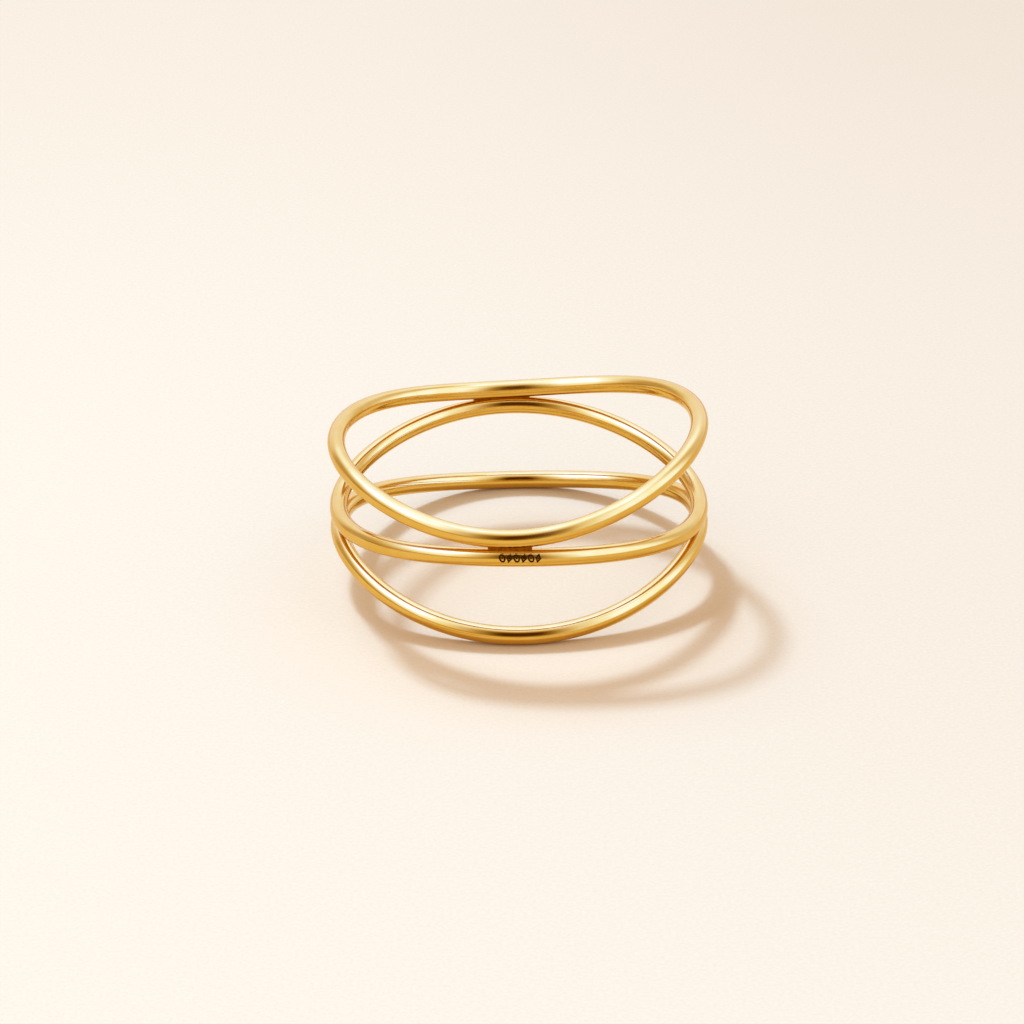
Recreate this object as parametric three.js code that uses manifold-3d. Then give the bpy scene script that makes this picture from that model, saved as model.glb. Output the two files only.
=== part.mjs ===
// A stackable ring of polished yellow gold: three closed loops of wire, one above the other, each bent
// into a wave with two crests and two troughs. The upper band's troughs meet the middle band's crests at
// the front and back, and the middle band's troughs meet the lower band's crests at the left and right.
// The four places are soldered, so the ring is one piece of metal.
// Millimetres. +Z runs up along the finger, +X is to the right and -Y is the front. The origin lies on the
// surface that the ring rests on, under the middle of the finger hole.

import * as THREE from 'three';
import { mergeVertices } from 'three/addons/utils/BufferGeometryUtils.js';
import Module from 'manifold-3d';

const wasm = await Module();
wasm.setup();

// Driving dimensions
const fingerBore = 17.5;      // inner diameter, for a finger 55 mm around
const wireWidth = 0.90;       // the wire's size measured outwards from the finger
const wireHeight = 0.92;      // the wire's size measured along the finger
const waveRise = 0.96;        // how far the lower band's wave rises above its mean height
const solderGap = 0.06;       // mean clear height between two bands where solder joins them
const solderLength = 2.2;     // a solder joint's length along the bands
const solderInset = 0.16;     // how far the solder's faces lie inside the wire's

// The bands from the top down. crestAngle is where the wave is highest, in degrees from +X towards the
// back. The other columns are shares of waveRise: wave is the rise to the crest, peak sharpens the crests
// and rounds the troughs, leanRight lifts the band's right side and leanBack its back.
const bands = [
  { name: 'upper', crestAngle: 0, wave: 0.90, peak: -0.05, leanRight: 0.39, leanBack: 0 },
  { name: 'middle', crestAngle: 90, wave: 0.74, peak: 0, leanRight: -0.15, leanBack: 0.05 },
  { name: 'lower', crestAngle: 0, wave: 1.00, peak: 0.03, leanRight: 0, leanBack: 0 },
];

// Facets. Fourteen sides put a flat facet along the wire's top and bottom. The rings of vertices lie half a
// step to each side of every crest and trough, so that the facet there is level.
const wireSides = 14;
const bandSteps = 80;

const goldColour = 0xd9a441;
const goldRoughness = 0.16;

// Sizes that follow from the driving dimensions
const bandRadius = fingerBore / 2 + wireWidth / 2;
const bandPitch = wireHeight + solderGap;
const facetHalfHeight = wireHeight / 2 / Math.cos(Math.PI / wireSides);

// Height of a band's centre line above its mean level, at an angle round the finger in radians
function waveHeight(band, angle) {
  const fromCrest = angle - THREE.MathUtils.degToRad(band.crestAngle);
  const wave = band.wave * Math.cos(2 * fromCrest) + band.peak * Math.cos(4 * fromCrest);
  const lean = band.leanRight * Math.cos(angle) + band.leanBack * Math.sin(angle);
  return waveRise * (wave + lean);
}

// Climb of the centre line, as millimetres of height for each millimetre round the finger
function waveSlope(band, angle) {
  const fromCrest = angle - THREE.MathUtils.degToRad(band.crestAngle);
  const wave = -2 * band.wave * Math.sin(2 * fromCrest) - 4 * band.peak * Math.sin(4 * fromCrest);
  const lean = -band.leanRight * Math.sin(angle) + band.leanBack * Math.cos(angle);
  return waveRise * (wave + lean) / bandRadius;
}

// Crest and trough of a band that doesn't lean, measured from its mean level
const crestHeight = (band) => waveRise * (band.peak + band.wave);
const troughHeight = (band) => waveRise * (band.peak - band.wave);

// Mean level of each band, with the middle band's at zero and a pitch between crests and troughs that meet
function bandLevels([upper, middle, lower]) {
  return {
    upper: crestHeight(middle) + bandPitch - troughHeight(upper),
    middle: 0,
    lower: troughHeight(middle) - bandPitch - crestHeight(lower),
  };
}

function toSolid(geometry) {
  geometry.deleteAttribute('normal');
  geometry.deleteAttribute('uv');
  const merged = mergeVertices(geometry);
  const vertProperties = merged.attributes.position.array;
  const triVerts = Uint32Array.from(merged.index.array);
  return new wasm.Manifold(new wasm.Mesh({ numProp: 3, vertProperties, triVerts }));
}

function toGeometry(solid) {
  const { vertProperties, triVerts } = solid.getMesh();
  const geometry = new THREE.BufferGeometry();
  geometry.setAttribute('position', new THREE.BufferAttribute(vertProperties, 3));
  geometry.setIndex(new THREE.BufferAttribute(triVerts, 1));
  geometry.computeVertexNormals();
  return geometry;
}

// One band: a torus whose oval section stays square to the wave that its centre line follows
function waveBand(band, level) {
  const torus = new THREE.TorusGeometry(bandRadius, wireWidth / 2, wireSides, bandSteps);
  torus.rotateZ(Math.PI / bandSteps);
  const position = torus.attributes.position;
  const point = new THREE.Vector3();
  for (let i = 0; i < position.count; i += 1) {
    point.fromBufferAttribute(position, i);
    const angle = Math.atan2(point.y, point.x);
    const radius = Math.hypot(point.x, point.y);
    const aroundWire = Math.atan2(point.z, radius - bandRadius);
    const tilt = Math.atan(waveSlope(band, angle));
    const aboveCentre = facetHalfHeight * Math.sin(aroundWire);
    const alongBand = -aboveCentre * Math.sin(tilt);
    position.setXYZ(
      i,
      radius * Math.cos(angle) - alongBand * Math.sin(angle),
      radius * Math.sin(angle) + alongBand * Math.cos(angle),
      level + waveHeight(band, angle) + aboveCentre * Math.cos(tilt),
    );
  }
  return toSolid(torus);
}

// One solder joint: a short piece of ring wall that reaches from the centre of the wire below to the
// centre of the wire above, and follows both round the finger
function solderJoint(below, above, levels, angle) {
  const halfWidth = wireWidth / 2 - solderInset;
  const halfAngle = solderLength / 2 / bandRadius;
  const wall = new THREE.Shape();
  wall.absarc(0, 0, bandRadius + halfWidth, angle - halfAngle, angle + halfAngle, false);
  wall.absarc(0, 0, bandRadius - halfWidth, angle + halfAngle, angle - halfAngle, true);
  wall.closePath();
  const bottom = levels[below.name] + waveHeight(below, angle);
  const top = levels[above.name] + waveHeight(above, angle);
  const joint = new THREE.ExtrudeGeometry(wall, {
    depth: top - bottom,
    curveSegments: 4,
    bevelEnabled: false,
  });
  joint.translate(0, 0, bottom);
  return toSolid(joint);
}

// Every band meets the one below it at that one's two crests
function solderedBands() {
  const levels = bandLevels(bands);
  const pieces = bands.map((band) => waveBand(band, levels[band.name]));
  bands.slice(1).forEach((below, i) => {
    const crest = THREE.MathUtils.degToRad(below.crestAngle);
    pieces.push(solderJoint(below, bands[i], levels, crest));
    pieces.push(solderJoint(below, bands[i], levels, crest + Math.PI));
  });
  return toGeometry(pieces.reduce((joined, piece) => joined.add(piece)));
}

const gold = new THREE.MeshStandardMaterial({
  name: 'yellow_gold',
  color: goldColour,
  roughness: goldRoughness,
  metalness: 1,
});

const ring = new THREE.Mesh(solderedBands(), gold);
ring.name = 'soldered_wave_bands';
ring.geometry.computeBoundingBox();
ring.position.z = -ring.geometry.boundingBox.min.z;

const stackableRing = new THREE.Group();
stackableRing.add(ring);

export default stackableRing;
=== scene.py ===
# Stackable ring: three wave bands of polished yellow gold wire, soldered where they meet
import bmesh
import bpy
from math import atan, atan2, cos, hypot, pi, radians, sin
from mathutils import Matrix, Vector


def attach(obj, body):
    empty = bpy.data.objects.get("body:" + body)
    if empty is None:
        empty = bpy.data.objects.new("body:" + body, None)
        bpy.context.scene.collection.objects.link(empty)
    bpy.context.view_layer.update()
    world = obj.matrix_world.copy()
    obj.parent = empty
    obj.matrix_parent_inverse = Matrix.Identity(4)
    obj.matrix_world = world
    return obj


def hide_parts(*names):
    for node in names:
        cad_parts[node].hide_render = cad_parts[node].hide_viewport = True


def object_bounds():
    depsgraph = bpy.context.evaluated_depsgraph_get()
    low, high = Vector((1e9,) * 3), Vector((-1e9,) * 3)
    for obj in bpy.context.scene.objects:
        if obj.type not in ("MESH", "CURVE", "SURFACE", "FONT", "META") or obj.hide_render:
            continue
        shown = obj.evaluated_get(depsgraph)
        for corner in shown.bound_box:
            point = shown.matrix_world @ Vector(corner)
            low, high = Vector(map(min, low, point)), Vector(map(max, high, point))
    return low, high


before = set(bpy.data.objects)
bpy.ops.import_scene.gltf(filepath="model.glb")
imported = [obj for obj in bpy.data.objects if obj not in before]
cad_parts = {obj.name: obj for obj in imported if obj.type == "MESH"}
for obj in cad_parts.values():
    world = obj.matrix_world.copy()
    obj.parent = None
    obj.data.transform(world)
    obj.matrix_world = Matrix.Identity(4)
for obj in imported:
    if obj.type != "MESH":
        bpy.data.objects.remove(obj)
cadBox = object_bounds()
boxInMm = [[round(1000 * v, 3) for v in corner] for corner in cadBox]
print("frame loaded with", len(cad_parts), "node, ring box in mm", boxInMm)

mm = 0.001  # the ring is modelled in millimetres and brought to metres when it is finished

ringSizes = {
    "wireWidth": 0.90,      # measured outwards from the finger
    "wireHeight": 0.92,     # measured along the finger
    "waveRise": 0.96,       # rise of the lower band's wave above its mean height
    "solderGap": 0.06,      # mean clear height between bands at a joint
    "aroundWire": 32,       # faces around the wire
    "roundFinger": 560,     # faces round the finger
    "sharpAngle": 32,       # degrees, edges that fold more than this stay sharp
    "frameFacets": 80,      # facets round the finger in the frame's solid
}
# those facets leave the frame's box a little inside the round wire, by half a step
outerRadius = (cadBox[1].x - cadBox[0].x) / 2 / mm / cos(pi / ringSizes["frameFacets"])
bandRadius = outerRadius - ringSizes["wireWidth"] / 2
floorToCentre = ringSizes["wireHeight"] / 2

# crestAngle is where the wave is highest, in degrees from +X towards the back, and the rest are
# shares of waveRise
bandShapes = {
    "upper": {"crestAngle": 0, "wave": 0.90, "peak": -0.05, "leanRight": 0.39, "leanBack": 0},
    "middle": {"crestAngle": 90, "wave": 0.74, "peak": 0, "leanRight": -0.15, "leanBack": 0.05},
    "lower": {"crestAngle": 0, "wave": 1.00, "peak": 0.03, "leanRight": 0, "leanBack": 0},
}


def waveHeight(band, angle):
    fromCrest = angle - radians(band["crestAngle"])
    wave = band["wave"] * cos(2 * fromCrest) + band["peak"] * cos(4 * fromCrest)
    lean = band["leanRight"] * cos(angle) + band["leanBack"] * sin(angle)
    return band["level"] + ringSizes["waveRise"] * (wave + lean)


def waveTilt(band, angle):  # how steeply the wire climbs as it goes round the finger
    step = 0.001
    rise = waveHeight(band, angle + step) - waveHeight(band, angle - step)
    return atan(rise / (2 * step * bandRadius))


def setLevels():  # every band's mean height, with the lower band's troughs on the floor
    rise = ringSizes["waveRise"]
    pitch = ringSizes["wireHeight"] + ringSizes["solderGap"]
    upper, middle, lower = (bandShapes[name] for name in ("upper", "middle", "lower"))
    lower["level"] = floorToCentre + rise * (lower["wave"] - lower["peak"])
    middle["level"] = lower["level"] + rise * (lower["wave"] + lower["peak"]) + pitch
    middle["level"] += rise * (middle["wave"] - middle["peak"])
    upper["level"] = middle["level"] + rise * (middle["wave"] + middle["peak"]) + pitch
    upper["level"] += rise * (upper["wave"] - upper["peak"])


setLevels()


def newPiece(name, bm, material):
    mesh = bpy.data.meshes.new(name)
    bm.to_mesh(mesh)
    bm.free()
    mesh.materials.append(material)
    piece = bpy.data.objects.new(name, mesh)
    bpy.context.scene.collection.objects.link(piece)
    return piece


def nearTurn(angle, reference):  # the same angle, within half a turn of the reference
    return angle + 2 * pi * round((reference - angle) / (2 * pi))


def addWireMap(bm):  # u runs round the finger and v around the wire, a whole turn being 1
    uvLayer = bm.loops.layers.uv.new("wireMap")

    def anglesOf(point):
        return atan2(point.y, point.x), atan2(point.z, hypot(point.x, point.y) - bandRadius)

    for face in bm.faces:
        faceAngles = anglesOf(face.calc_center_median())
        for loop in face.loops:
            angles = anglesOf(loop.vert.co)
            loop[uvLayer].uv = [nearTurn(a, b) / (2 * pi) for a, b in zip(angles, faceAngles)]


def bendToWave(bm, band):
    for vert in bm.verts:
        angle = atan2(vert.co.y, vert.co.x)
        radius = hypot(vert.co.x, vert.co.y)
        tilt = waveTilt(band, angle)
        along = -vert.co.z * sin(tilt)
        height = waveHeight(band, angle) + vert.co.z * cos(tilt)
        x = radius * cos(angle) - along * sin(angle)
        y = radius * sin(angle) + along * cos(angle)
        vert.co = (x, y, height)


def waveBand(name, material, thinner=0.0):  # thinner is in millimetres, all round the wire
    bm = bmesh.new()
    bmesh.ops.create_circle(bm, segments=ringSizes["aroundWire"], radius=1)
    halfWidth = ringSizes["wireWidth"] / 2 - thinner
    halfHeight = ringSizes["wireHeight"] / 2 - thinner
    bmesh.ops.scale(bm, vec=(halfWidth, halfHeight, 1), verts=bm.verts)
    bmesh.ops.rotate(bm, matrix=Matrix.Rotation(radians(90), 3, "X"), verts=bm.verts)
    bmesh.ops.translate(bm, vec=(bandRadius, 0, 0), verts=bm.verts)
    section = bm.verts[:] + bm.edges[:]
    steps = ringSizes["roundFinger"]
    bmesh.ops.spin(bm, geom=section, axis=(0, 0, 1), angle=2 * pi, steps=steps, use_merge=True)
    bmesh.ops.remove_doubles(bm, verts=bm.verts, dist=1e-5)  # closes the seam of the turn
    bmesh.ops.recalc_face_normals(bm, faces=bm.faces)
    addWireMap(bm)
    bendToWave(bm, bandShapes[name])
    return newPiece(name + "Band", bm, material)


solder = {
    "width": 0.48,       # outwards from the finger
    "waist": 0.24,       # share of its width that it draws in between the wires
    "endWaist": 0.20,    # share of its length that it draws in between the wires
    "alongCuts": 23,
    "heightCuts": 11,
    # the band above, the band below, the angle round the finger and the length along the bands
    "joints": (
        ("upper", "middle", -93, 2.65),
        ("upper", "middle", 95, 3.7),
        ("middle", "lower", 0, 2.2),
        ("middle", "lower", 180, 2.2),
    ),
}


def edgesAlong(bm, axis):  # the long edges of a unit block that run along an axis
    return [e for e in bm.edges if abs((e.verts[0].co - e.verts[1].co)[axis]) > 0.5]


def solderJoint(aboveName, belowName, degrees, length, material):
    above, below = bandShapes[aboveName], bandShapes[belowName]
    bm = bmesh.new()
    bmesh.ops.create_cube(bm, size=1)
    for axis, cuts in ((0, solder["alongCuts"]), (2, solder["heightCuts"])):
        bmesh.ops.subdivide_edges(bm, edges=edgesAlong(bm, axis), cuts=cuts, use_grid_fill=True)
    for vert in bm.verts:
        middle = 1 - (2 * vert.co.z) ** 2  # 1 half way up, 0 at the wires' centres
        turn = vert.co.x * length * (1 - solder["endWaist"] * middle) / bandRadius
        angle = radians(degrees) + turn
        radius = bandRadius + vert.co.y * solder["width"] * (1 - solder["waist"] * middle)
        bottom, top = waveHeight(below, angle), waveHeight(above, angle)
        height = bottom + (vert.co.z + 0.5) * (top - bottom)
        vert.co = (radius * cos(angle), radius * sin(angle), height)
    bmesh.ops.recalc_face_normals(bm, faces=bm.faces)
    return newPiece("solderJoint", bm, material)


mark = {
    "motifs": ("ring", "lozenge", "ring", "lozenge", "ring", "lozenge"),
    "sides": {"ring": 28, "lozenge": 4},
    "lean": {"ring": 20, "lozenge": -14},     # degrees
    "halfWidth": {"ring": 0.162, "lozenge": 0.158},
    "halfHeight": {"ring": 0.215, "lozenge": 0.25},
    "spacing": 0.337,
    "line": 0.088,
    "dot": 0.045,
    "dotSides": 12,
    "depth": 0.07,       # how deep the grooves go below the wire's surface
    "facing": 20,        # degrees above the horizontal that the mark's middle faces
    "inside": 0.25,      # where the cutters start and end, from the wire's axis
    "outside": 0.75,
}


def motifFaces(bm, motif):  # a flat outline with a dot in it
    sides = mark["sides"][motif]
    outline = bmesh.ops.create_circle(bm, segments=sides, radius=1, cap_ends=True)["verts"]
    bmesh.ops.rotate(bm, matrix=Matrix.Rotation(radians(90), 3, "Z"), verts=outline)
    size = (mark["halfWidth"][motif], mark["halfHeight"][motif], 1)
    bmesh.ops.scale(bm, vec=size, verts=outline)
    middle = outline[0].link_faces[0]
    line = bmesh.ops.inset_individual(bm, faces=[middle], thickness=mark["line"], use_even_offset=True)
    bmesh.ops.delete(bm, geom=[middle], context="FACES_ONLY")
    lean = Matrix.Rotation(radians(mark["lean"][motif]), 3, "Z")
    verts = list({vert for face in line["faces"] for vert in face.verts})
    bmesh.ops.rotate(bm, matrix=lean, verts=verts)
    dot = bmesh.ops.create_circle(bm, segments=mark["dotSides"], radius=mark["dot"], cap_ends=True)
    return line["faces"] + dot["verts"][0].link_faces[:]


def markCutter(material):  # little prisms that reach out of the wire, and turn with it round the finger
    bm = bmesh.new()
    for number, motif in enumerate(mark["motifs"]):
        faces = motifFaces(bm, motif)
        verts = list({vert for face in faces for vert in face.verts})
        bmesh.ops.translate(bm, vec=(0, 0, mark["inside"]), verts=verts)
        raised = bmesh.ops.extrude_face_region(bm, geom=faces, use_keep_orig=True)["geom"]
        raisedVerts = [part for part in raised if isinstance(part, bmesh.types.BMVert)]
        reach = mark["outside"] - mark["inside"]
        bmesh.ops.translate(bm, vec=(0, 0, reach), verts=raisedVerts)
        verts += raisedVerts
        stand = Matrix.Rotation(radians(90 - mark["facing"]), 3, "X")
        bmesh.ops.rotate(bm, matrix=stand, verts=verts)
        turn = (number - (len(mark["motifs"]) - 1) / 2) * mark["spacing"] / bandRadius
        height = waveHeight(bandShapes["middle"], turn - pi / 2)
        bmesh.ops.translate(bm, vec=(0, -bandRadius, height), verts=verts)
        bmesh.ops.rotate(bm, matrix=Matrix.Rotation(turn, 3, "Z"), verts=verts)
    bmesh.ops.recalc_face_normals(bm, faces=bm.faces)
    return newPiece("markCutter", bm, material)


def combine(target, operation, tools):  # the tools are used up
    for tool in tools:
        boolean = target.modifiers.new("boolean", "BOOLEAN")
        boolean.operation = operation
        boolean.solver = "EXACT"
        boolean.material_mode = "TRANSFER"
        boolean.object = tool
    evaluated = target.evaluated_get(bpy.context.evaluated_depsgraph_get())
    target.data = bpy.data.meshes.new_from_object(evaluated)
    target.modifiers.clear()
    for tool in tools:
        bpy.data.objects.remove(tool)


def setStops(colourRamp, stops):  # stops are (position, colour)
    while len(colourRamp.elements) < len(stops):
        colourRamp.elements.new(1)
    for element, (position, colour) in zip(colourRamp.elements, stops):
        element.position = position
        element.color = (*colour, 1)


class Signal:
    # one output of a node: arithmetic on it adds Math nodes, and node() adds any other node
    def __init__(self, tree, socket=None):
        self.tree = tree
        self.socket = socket

    def node(self, kind, settings=None, inputs=None, output=None):
        made = self.tree.nodes.new(kind)
        for name, value in (settings or {}).items():
            if name == "stops":
                setStops(made.color_ramp, value)
            else:
                setattr(made, name, value)
        free = {socket.name: socket for socket in reversed(made.inputs) if socket.enabled}
        for name, value in (inputs or {}).items():
            socket = made.inputs[name] if isinstance(name, int) else free[name]
            if isinstance(value, Signal):
                self.tree.links.new(value.socket, socket)
            else:
                socket.default_value = value
        usable = [socket for socket in made.outputs if socket.enabled]
        if not usable:  # a material's or the world's own output
            return None
        return Signal(self.tree, made.outputs[output] if output else usable[0])

    def parts(self):  # the x, y and z of a place or direction
        split = self.node("ShaderNodeSeparateXYZ", inputs={"Vector": self}).socket.node
        return [Signal(self.tree, output) for output in split.outputs]

    def math(self, operation, *others):
        return self.node("ShaderNodeMath", {"operation": operation}, dict(enumerate((self, *others))))

    def __add__(self, other):
        return self.math("ADD", other)

    def __sub__(self, other):
        return self.math("SUBTRACT", other)

    def __rsub__(self, other):
        return self.node("ShaderNodeMath", {"operation": "SUBTRACT"}, {0: other, 1: self})

    def __mul__(self, other):
        return self.math("MULTIPLY", other)

    def __neg__(self):
        return self.math("MULTIPLY", -1)

    __radd__ = __add__
    __rmul__ = __mul__

    def ease(self, start, end):  # 0 at start, 1 at end, smooth in between
        span = {"Value": self, "From Min": start, "From Max": end}
        return self.node("ShaderNodeMapRange", {"interpolation_type": "SMOOTHSTEP"}, span)

    def between(self, low, lowFull, highFull, high):  # 1 inside, easing to 0 on both sides
        return self.ease(low, lowFull) * (1 - self.ease(highFull, high))

    def mixValues(self, low, high):  # this signal is the factor
        return self.node("ShaderNodeMix", inputs={"Factor": self, "A": low, "B": high})

    def mixColours(self, low, high):
        return self.node("ShaderNodeMix", {"data_type": "RGBA"}, {"Factor": self, "A": low, "B": high})

    def tinted(self, tint):  # a colour times another
        return self.node("ShaderNodeVectorMath", {"operation": "MULTIPLY"}, {0: self, 1: tint})


def newMaterial(name):
    material = bpy.data.materials.new(name)
    material.use_nodes = True
    material.node_tree.nodes.clear()
    return material, Signal(material.node_tree)


# a range says between which values of a noise its effect grows from none to full
gold = {
    "colour": (0.79, 0.475, 0.088, 1),
    "warmColour": (0.772, 0.444, 0.068, 1),
    "edgeTint": (0.95, 0.88, 0.74, 1),
    "roughness": 0.07,
    "warmPatches": {"scale": 700, "detail": 2, "range": (0.35, 0.65)},
    # patches that the polishing wheel touched less
    "satin": {"scale": 260, "detail": 2, "range": (0.50, 0.66), "roughness": 0.10},
    # fine scratches along the wire, where a smaller stretch draws them out more
    "streaks": {
        "scale": 14,
        "stretch": 0.6,
        "detail": 2,
        "range": (0.35, 0.7),
        "roughness": 0.05,
        "height": 0.0000008,    # metres
    },
    # the hand-formed wire's surface wanders by this height
    "waviness": {"scale": 450, "detail": 1, "height": 0.00002},
}


def goldMaterial():
    material, start = newMaterial("polishedGold")
    place = start.node("ShaderNodeTexCoord", output="Object")

    def noise(look):
        spots = {"Vector": place, "Scale": look["scale"], "Detail": look["detail"]}
        return start.node("ShaderNodeTexNoise", inputs=spots)

    def drawnNoise(look):  # follows the wire round the finger and around itself, without a seam
        turns = start.node("ShaderNodeUVMap", {"uv_map": "wireMap"}).parts()[:2]
        along, around = (turn * (2 * pi) for turn in turns)
        alongX, alongY = along.math("COSINE"), along.math("SINE")
        spot = {"X": around.math("COSINE"), "Y": around.math("SINE"), "Z": alongX * look["stretch"]}
        spots = {
            "Vector": start.node("ShaderNodeCombineXYZ", inputs=spot),
            "W": alongY * look["stretch"],
            "Scale": look["scale"],
            "Detail": look["detail"],
        }
        return start.node("ShaderNodeTexNoise", {"noise_dimensions": "4D"}, spots)

    patches, satin = gold["warmPatches"], gold["satin"]
    drawn, waves = gold["streaks"], gold["waviness"]
    streaks = drawnNoise(drawn)
    warm = noise(patches).ease(*patches["range"])
    roughness = gold["roughness"] + drawn["roughness"] * streaks.ease(*drawn["range"])
    roughness = roughness + satin["roughness"] * noise(satin).ease(*satin["range"])
    height = waves["height"] * noise(waves) + drawn["height"] * streaks
    shader = start.node(
        "ShaderNodeBsdfPrincipled",
        inputs={
            "Base Color": warm.mixColours(gold["colour"], gold["warmColour"]),
            "Specular Tint": gold["edgeTint"],
            "Metallic": 1.0,
            "Roughness": roughness,
            "Normal": start.node("ShaderNodeBump", inputs={"Height": height, "Distance": 1.0}),
        },
    )
    start.node("ShaderNodeOutputMaterial", inputs={"Surface": shader})
    return material


# the solder, with its colour darkened as painted shade for the gap between the wires, and the inside of
# the mark, painted dark as painted shade for its grooves
grained = {
    # solder, with its colour darkened as painted shade for the shade in the gap between the wires
    "shadedSolder": {
        "colour": (0.30, 0.08, 0.003, 1),
        "darkColour": (0.18, 0.042, 0.0015, 1),
        "metallic": 1.0,
        "roughness": 0.28,
    },
    # painted shade: the mark's grooves are coloured dark brown and matte for the shade inside them
    "shadedGroove": {
        "colour": (0.12, 0.05, 0.007, 1),
        "darkColour": (0.06, 0.022, 0.003, 1),
        "metallic": 0.0,
        "roughness": 0.5,
    },
    "grain": {"Scale": 7000, "Detail": 3},
    "grainRange": (0.3, 0.7),
    "grainRoughness": 0.12,
}


def grainedMetal(name):
    look = grained[name]
    material, start = newMaterial(name)
    place = start.node("ShaderNodeTexCoord", output="Object")
    grain = start.node("ShaderNodeTexNoise", inputs={"Vector": place, **grained["grain"]})
    dark = grain.ease(*grained["grainRange"])
    shader = start.node(
        "ShaderNodeBsdfPrincipled",
        inputs={
            "Base Color": dark.mixColours(look["colour"], look["darkColour"]),
            "Metallic": look["metallic"],
            "Roughness": look["roughness"] + grained["grainRoughness"] * grain,
            "Specular IOR Level": 0.0,
        },
    )
    start.node("ShaderNodeOutputMaterial", inputs={"Surface": shader})
    return material


def buildRing():
    polished = goldMaterial()
    soldered = grainedMetal("shadedSolder")
    groove = grainedMetal("shadedGroove")
    ring = waveBand("upper", polished)
    bands = [waveBand(name, polished) for name in ("middle", "lower")]
    joints = [solderJoint(*joint, soldered) for joint in solder["joints"]]
    combine(ring, "UNION", bands + joints)
    print("bands and solder joined:", len(ring.data.polygons), "faces")
    cutter = markCutter(groove)
    combine(cutter, "DIFFERENCE", [waveBand("middle", groove, thinner=mark["depth"])])
    combine(ring, "DIFFERENCE", [cutter])
    print("mark cut:", len(ring.data.polygons), "faces")
    ring.name = "solderedRing"
    ring.data.transform(Matrix.Scale(mm, 4))
    ring.data.shade_smooth()
    ring.data.set_sharp_from_angle(angle=radians(ringSizes["sharpAngle"]))
    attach(ring, "root")
    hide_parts("soldered_wave_bands")


buildRing()

view = {
    "elevation": 25.2,      # degrees above the floor
    "distance": 205,        # millimetres to the point that is looked at
    "lookAt": (-0.36, 0, 2.87),
    "roll": -1.03,
    "lens": 140.9,
    "sensor": 36,           # millimetres wide
    "clipStart": 0.01,      # metres
}


def addCamera():
    camera = bpy.data.objects.new("camera", bpy.data.cameras.new("camera"))
    bpy.context.scene.collection.objects.link(camera)
    camera.data.sensor_width = view["sensor"]
    camera.data.lens = view["lens"]
    camera.data.clip_start = view["clipStart"]
    turn = Matrix.Rotation(radians(90 - view["elevation"]), 4, "X")
    turn = turn @ Matrix.Rotation(radians(view["roll"]), 4, "Z")
    back = turn @ Vector((0, 0, view["distance"] * mm))
    camera.matrix_world = Matrix.Translation(Vector(view["lookAt"]) * mm + back) @ turn
    bpy.context.scene.camera = camera
    print("camera placed")


addCamera()

# lengths are in metres, and a reach says where an effect starts and where it is full
floorLook = {
    "size": 3.0,
    "colour": (0.812, 0.774, 0.694, 1),
    # painted shade: the colour the floor is painted where it should lie in less light
    "paintedShadeColour": (0.702, 0.638, 0.553, 1),
    "toRight": (-0.03, 0.045),                 # painted shade: the floor is painted darker to the right
    "besideRing": (-0.06, 0),                  # from in front of the ring to beside it
    "rightShare": (0.2, 0.55),                 # and by these shares at those two places
    "toBack": (0.01, 0.11),                    # painted shade: and painted darker behind the ring as well
    "backShare": 0.45,
    "paintedGoldLight": (1.035, 0.985, 0.93),          # painted light: the floor's colour is warmed round the ring for the light that the gold throws on it
    "nearMiddle": (0, -0.005, 0),
    "nearReach": (0.007, 0.017),
    "grain": 0.13,
    "grainScale": 5500,
    "grainDetail": 2,
}


def addFloor():
    bm = bmesh.new()
    bmesh.ops.create_grid(bm, x_segments=1, y_segments=1, size=floorLook["size"] / 2)
    material, start = newMaterial("paleFloor")
    place = start.node("ShaderNodeTexCoord", output="Object")
    across, away = place.parts()[:2]
    # painted shade: the floor's colour darkens to the right and behind the ring, in place of the light
    # falling off
    rightShare = away.ease(*floorLook["besideRing"]).mixValues(*floorLook["rightShare"])
    paintedShade = across.ease(*floorLook["toRight"]) * rightShare
    paintedShade = paintedShade + floorLook["backShare"] * away.ease(*floorLook["toBack"])
    colour = paintedShade.mixColours(floorLook["colour"], floorLook["paintedShadeColour"])
    # painted light: the floor is tinted warmer near the ring for the light the gold throws on it
    ends = {0: place, 1: floorLook["nearMiddle"]}
    distance = start.node("ShaderNodeVectorMath", {"operation": "DISTANCE"}, ends, output="Value")
    goldLightShare = 1 - distance.ease(*floorLook["nearReach"])
    colour = goldLightShare.mixColours(colour, colour.tinted(floorLook["paintedGoldLight"]))
    spots = {"Vector": place, "Scale": floorLook["grainScale"], "Detail": floorLook["grainDetail"]}
    grain = start.node("ShaderNodeTexNoise", inputs=spots)
    speckled = {"Vector": colour, "Scale": 1 + floorLook["grain"] * (grain - 0.5)}
    colour = start.node("ShaderNodeVectorMath", {"operation": "SCALE"}, speckled)
    shader = start.node("ShaderNodeBsdfDiffuse", inputs={"Color": colour})
    start.node("ShaderNodeOutputMaterial", inputs={"Surface": shader})
    newPiece("floor", bm, material)
    print("floor laid")


addFloor()

keyLight = {
    "from": (-0.428, 1.08, 1.0),        # behind the ring and a little to the left
    "colour": (0.60, 0.862, 1.127),
    # the sharp middle of the lamp and the wide glow around it: degrees across, and strength
    "lamps": {"keyLight": (6.5, 2.02), "keyGlow": (24, 1.21)},
}


def addKeyLight():
    for name, (angle, strength) in keyLight["lamps"].items():
        lamp = bpy.data.lights.new(name, "SUN")
        lamp.energy = strength
        lamp.color = keyLight["colour"]
        lamp.angle = radians(angle)
        key = bpy.data.objects.new(name, lamp)
        key.rotation_euler = Vector(keyLight["from"]).to_track_quat("Z", "Y").to_euler()
        key.visible_glossy = False      # the softboxes make the gold's highlights
        bpy.context.scene.collection.objects.link(key)
    print("key light hung:", len(keyLight["lamps"]), "lamps")


addKeyLight()

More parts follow.
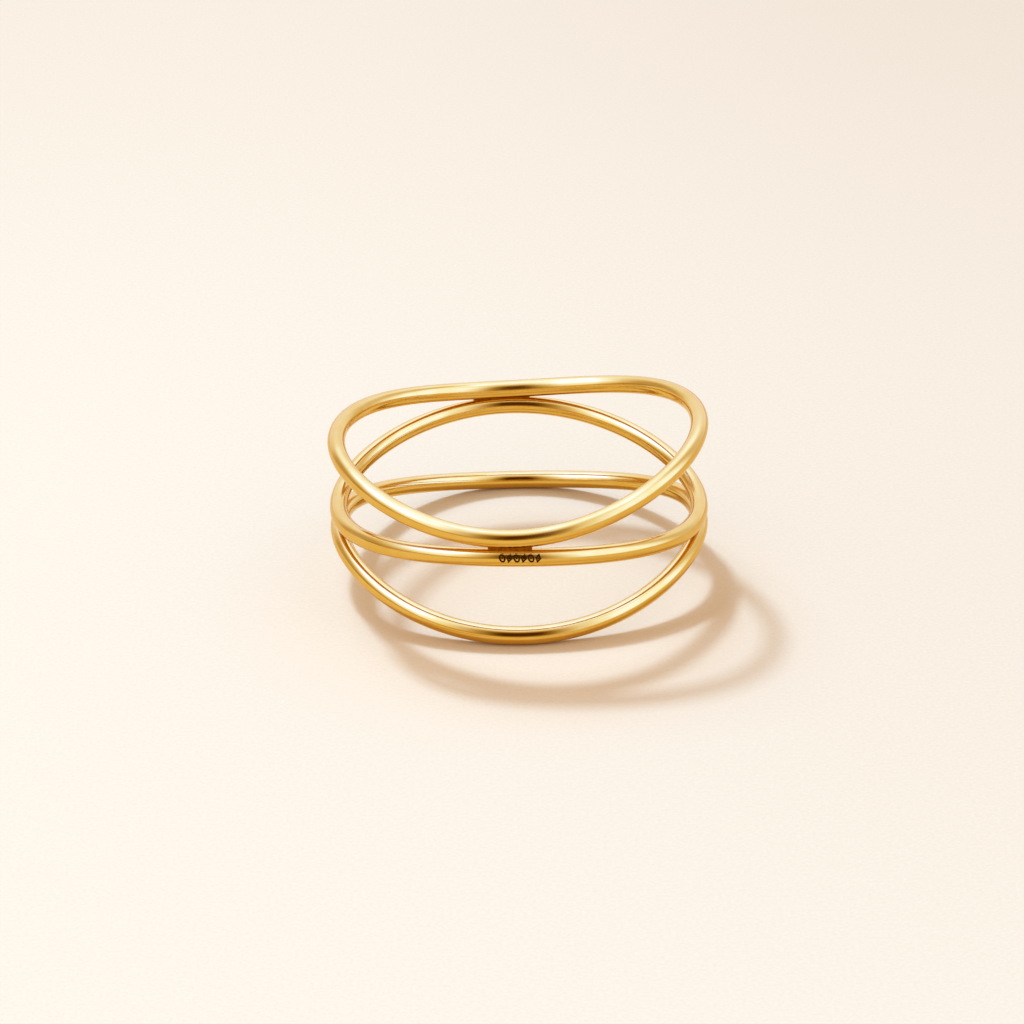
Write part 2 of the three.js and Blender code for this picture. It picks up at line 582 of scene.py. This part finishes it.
# What the polished gold sees around it. Across is in degrees to the right of the camera's side, and
# up is in degrees above the horizon. Two numbers say where a thing starts and where it is full, and
# four where it starts, is full, begins to fade and ends. A level is a place on the reflected scale.
studio = {
    # from the dark side of the studio to the middle of a softbox
    "reflected": (
        (0.02, (0.095, 0.032, 0.002)),
        (0.08, (0.24, 0.13, 0.04)),
        (0.20, (0.49, 0.40, 0.28)),
        (0.28, (0.67, 0.58, 0.58)),
        (0.38, (0.81, 0.80, 1.2)),
        (0.51, (0.97, 1.09, 2.1)),
        (0.64, (1.09, 1.37, 3.2)),
        (0.80, (1.20, 1.72, 5.2)),
        (0.92, (1.28, 2.00, 7.4)),
        (1.00, (1.46, 2.50, 14.0)),
    ),
    "walls": {"across": (-60, 60), "levels": (0.28, 0.44)},             # from left to right
    "back": {"aside": (128, 164), "up": (18, 40), "levels": (0.70, 0.88)},
    "ceiling": {"aside": (24, 96), "up": (52, 76), "levels": (0.54, 1.0)},
    "overhead": {"up": (70, 88), "level": 0.88},
    # the left softbox hangs slantwise, its lower edge rising towards the back
    "leftBox": {"across": (-178, -150, -50, -20), "foot": (-8, 23), "top": (62, 82), "level": 0.90},
    "leftSlant": {"slope": -0.5, "from": -52, "most": 30},
    "hotSpot": {"across": (-165, -138, -62, -42), "up": (32, 45, 64, 78), "brighter": 0.1},
    # how far each reaches across and up, the share that it covers of what is behind, and its level
    "cards": {
        "rightBox": ((18, 50, 92, 122), (-6, 14, 50, 80), 1, 0.92),
        "lowStrip": ((-130, -112, -66, -50), (-98, -92, 1, 10), 1, 0.50),       # down to the floor
        "underLeft": ((-125, -100, -34, -16), (2, 7, 10, 16), 0.45, 0.08),
        "underRight": ((22, 46, 96, 124), (-4, 0, 2, 7), 0.4, 0.08),
        "darkCard": ((-30, -7, 7, 30), (-10, 22, 44, 76), 1, 0.012),
    },
    "warmGlow": {"across": (-112, -88, -38, -18), "fade": (18, 40), "tint": (1.0, 0.90, 0.66)},
    "farWall": {"fade": (6, 44), "colour": (1.10, 1.27, 2.15, 1)},
    "fill": (0.845, 0.635, 0.465, 1),       # the soft light that reaches the floor from all round
    "behind": (0.87, 0.77, 0.67, 1),        # what the camera sees past the floor's edge
}


def studioLevel(toRight, aside, rise):  # how bright the studio is in each direction
    walls, back, ceiling = studio["walls"], studio["back"], studio["ceiling"]
    level = toRight.ease(*walls["across"]).mixValues(*walls["levels"])
    backLevel = rise.ease(*back["up"]).mixValues(*back["levels"])
    level = aside.ease(*back["aside"]).mixValues(level, backLevel)
    ceilingLevel = aside.ease(*ceiling["aside"]).mixValues(*ceiling["levels"])
    level = rise.ease(*ceiling["up"]).mixValues(level, ceilingLevel)
    level = rise.ease(*studio["overhead"]["up"]).mixValues(level, studio["overhead"]["level"])
    box, slant, hot = studio["leftBox"], studio["leftSlant"], studio["hotSpot"]
    lift = slant["slope"] * (toRight - slant["from"])
    lift = lift.math("MAXIMUM", 0).math("MINIMUM", slant["most"])
    leftBox = toRight.between(*box["across"]) * (rise - lift).ease(*box["foot"])
    leftBox = leftBox * (1 - rise.ease(*box["top"]))
    hotSpot = toRight.between(*hot["across"]) * rise.between(*hot["up"])
    level = leftBox.mixValues(level, box["level"] + hot["brighter"] * hotSpot)
    for across, up, share, cardLevel in studio["cards"].values():
        card = toRight.between(*across) * rise.between(*up)
        level = (share * card).mixValues(level, cardLevel)
    return level


def addStudio():
    world = bpy.data.worlds.new("studio")
    bpy.context.scene.world = world
    world.use_nodes = True
    world.node_tree.nodes.clear()
    start = Signal(world.node_tree)
    right, away, up = start.node("ShaderNodeTexCoord", output="Generated").parts()
    toRight = right.math("ARCTAN2", -away) * (180 / pi)     # degrees from the camera's side
    aside = toRight.math("ABSOLUTE")
    rise = up.math("ARCSINE") * (180 / pi)                  # degrees above the horizon
    level = studioLevel(toRight, aside, rise)
    seen = start.node("ShaderNodeValToRGB", {"stops": studio["reflected"]}, {"Fac": level})
    glow, farWall = studio["warmGlow"], studio["farWall"]
    lowLeft = toRight.between(*glow["across"]) * (1 - rise.ease(*glow["fade"]))
    seen = lowLeft.mixColours(seen, seen.tinted(glow["tint"]))
    lowBack = aside.ease(*studio["back"]["aside"]) * (1 - rise.ease(*farWall["fade"]))
    seen = lowBack.mixColours(seen, farWall["colour"])
    glossyRay = start.node("ShaderNodeLightPath", output="Is Glossy Ray")
    cameraRay = start.node("ShaderNodeLightPath", output="Is Camera Ray")
    colour = glossyRay.mixColours(studio["fill"], seen)
    colour = cameraRay.mixColours(colour, studio["behind"])
    background = start.node("ShaderNodeBackground", inputs={"Color": colour})
    start.node("ShaderNodeOutputWorld", inputs={"Surface": background})
    bpy.context.scene.view_settings.view_transform = "Standard"
    print("studio lit:", len(studio["cards"]) + 1, "softboxes, strips and cards")


addStudio()
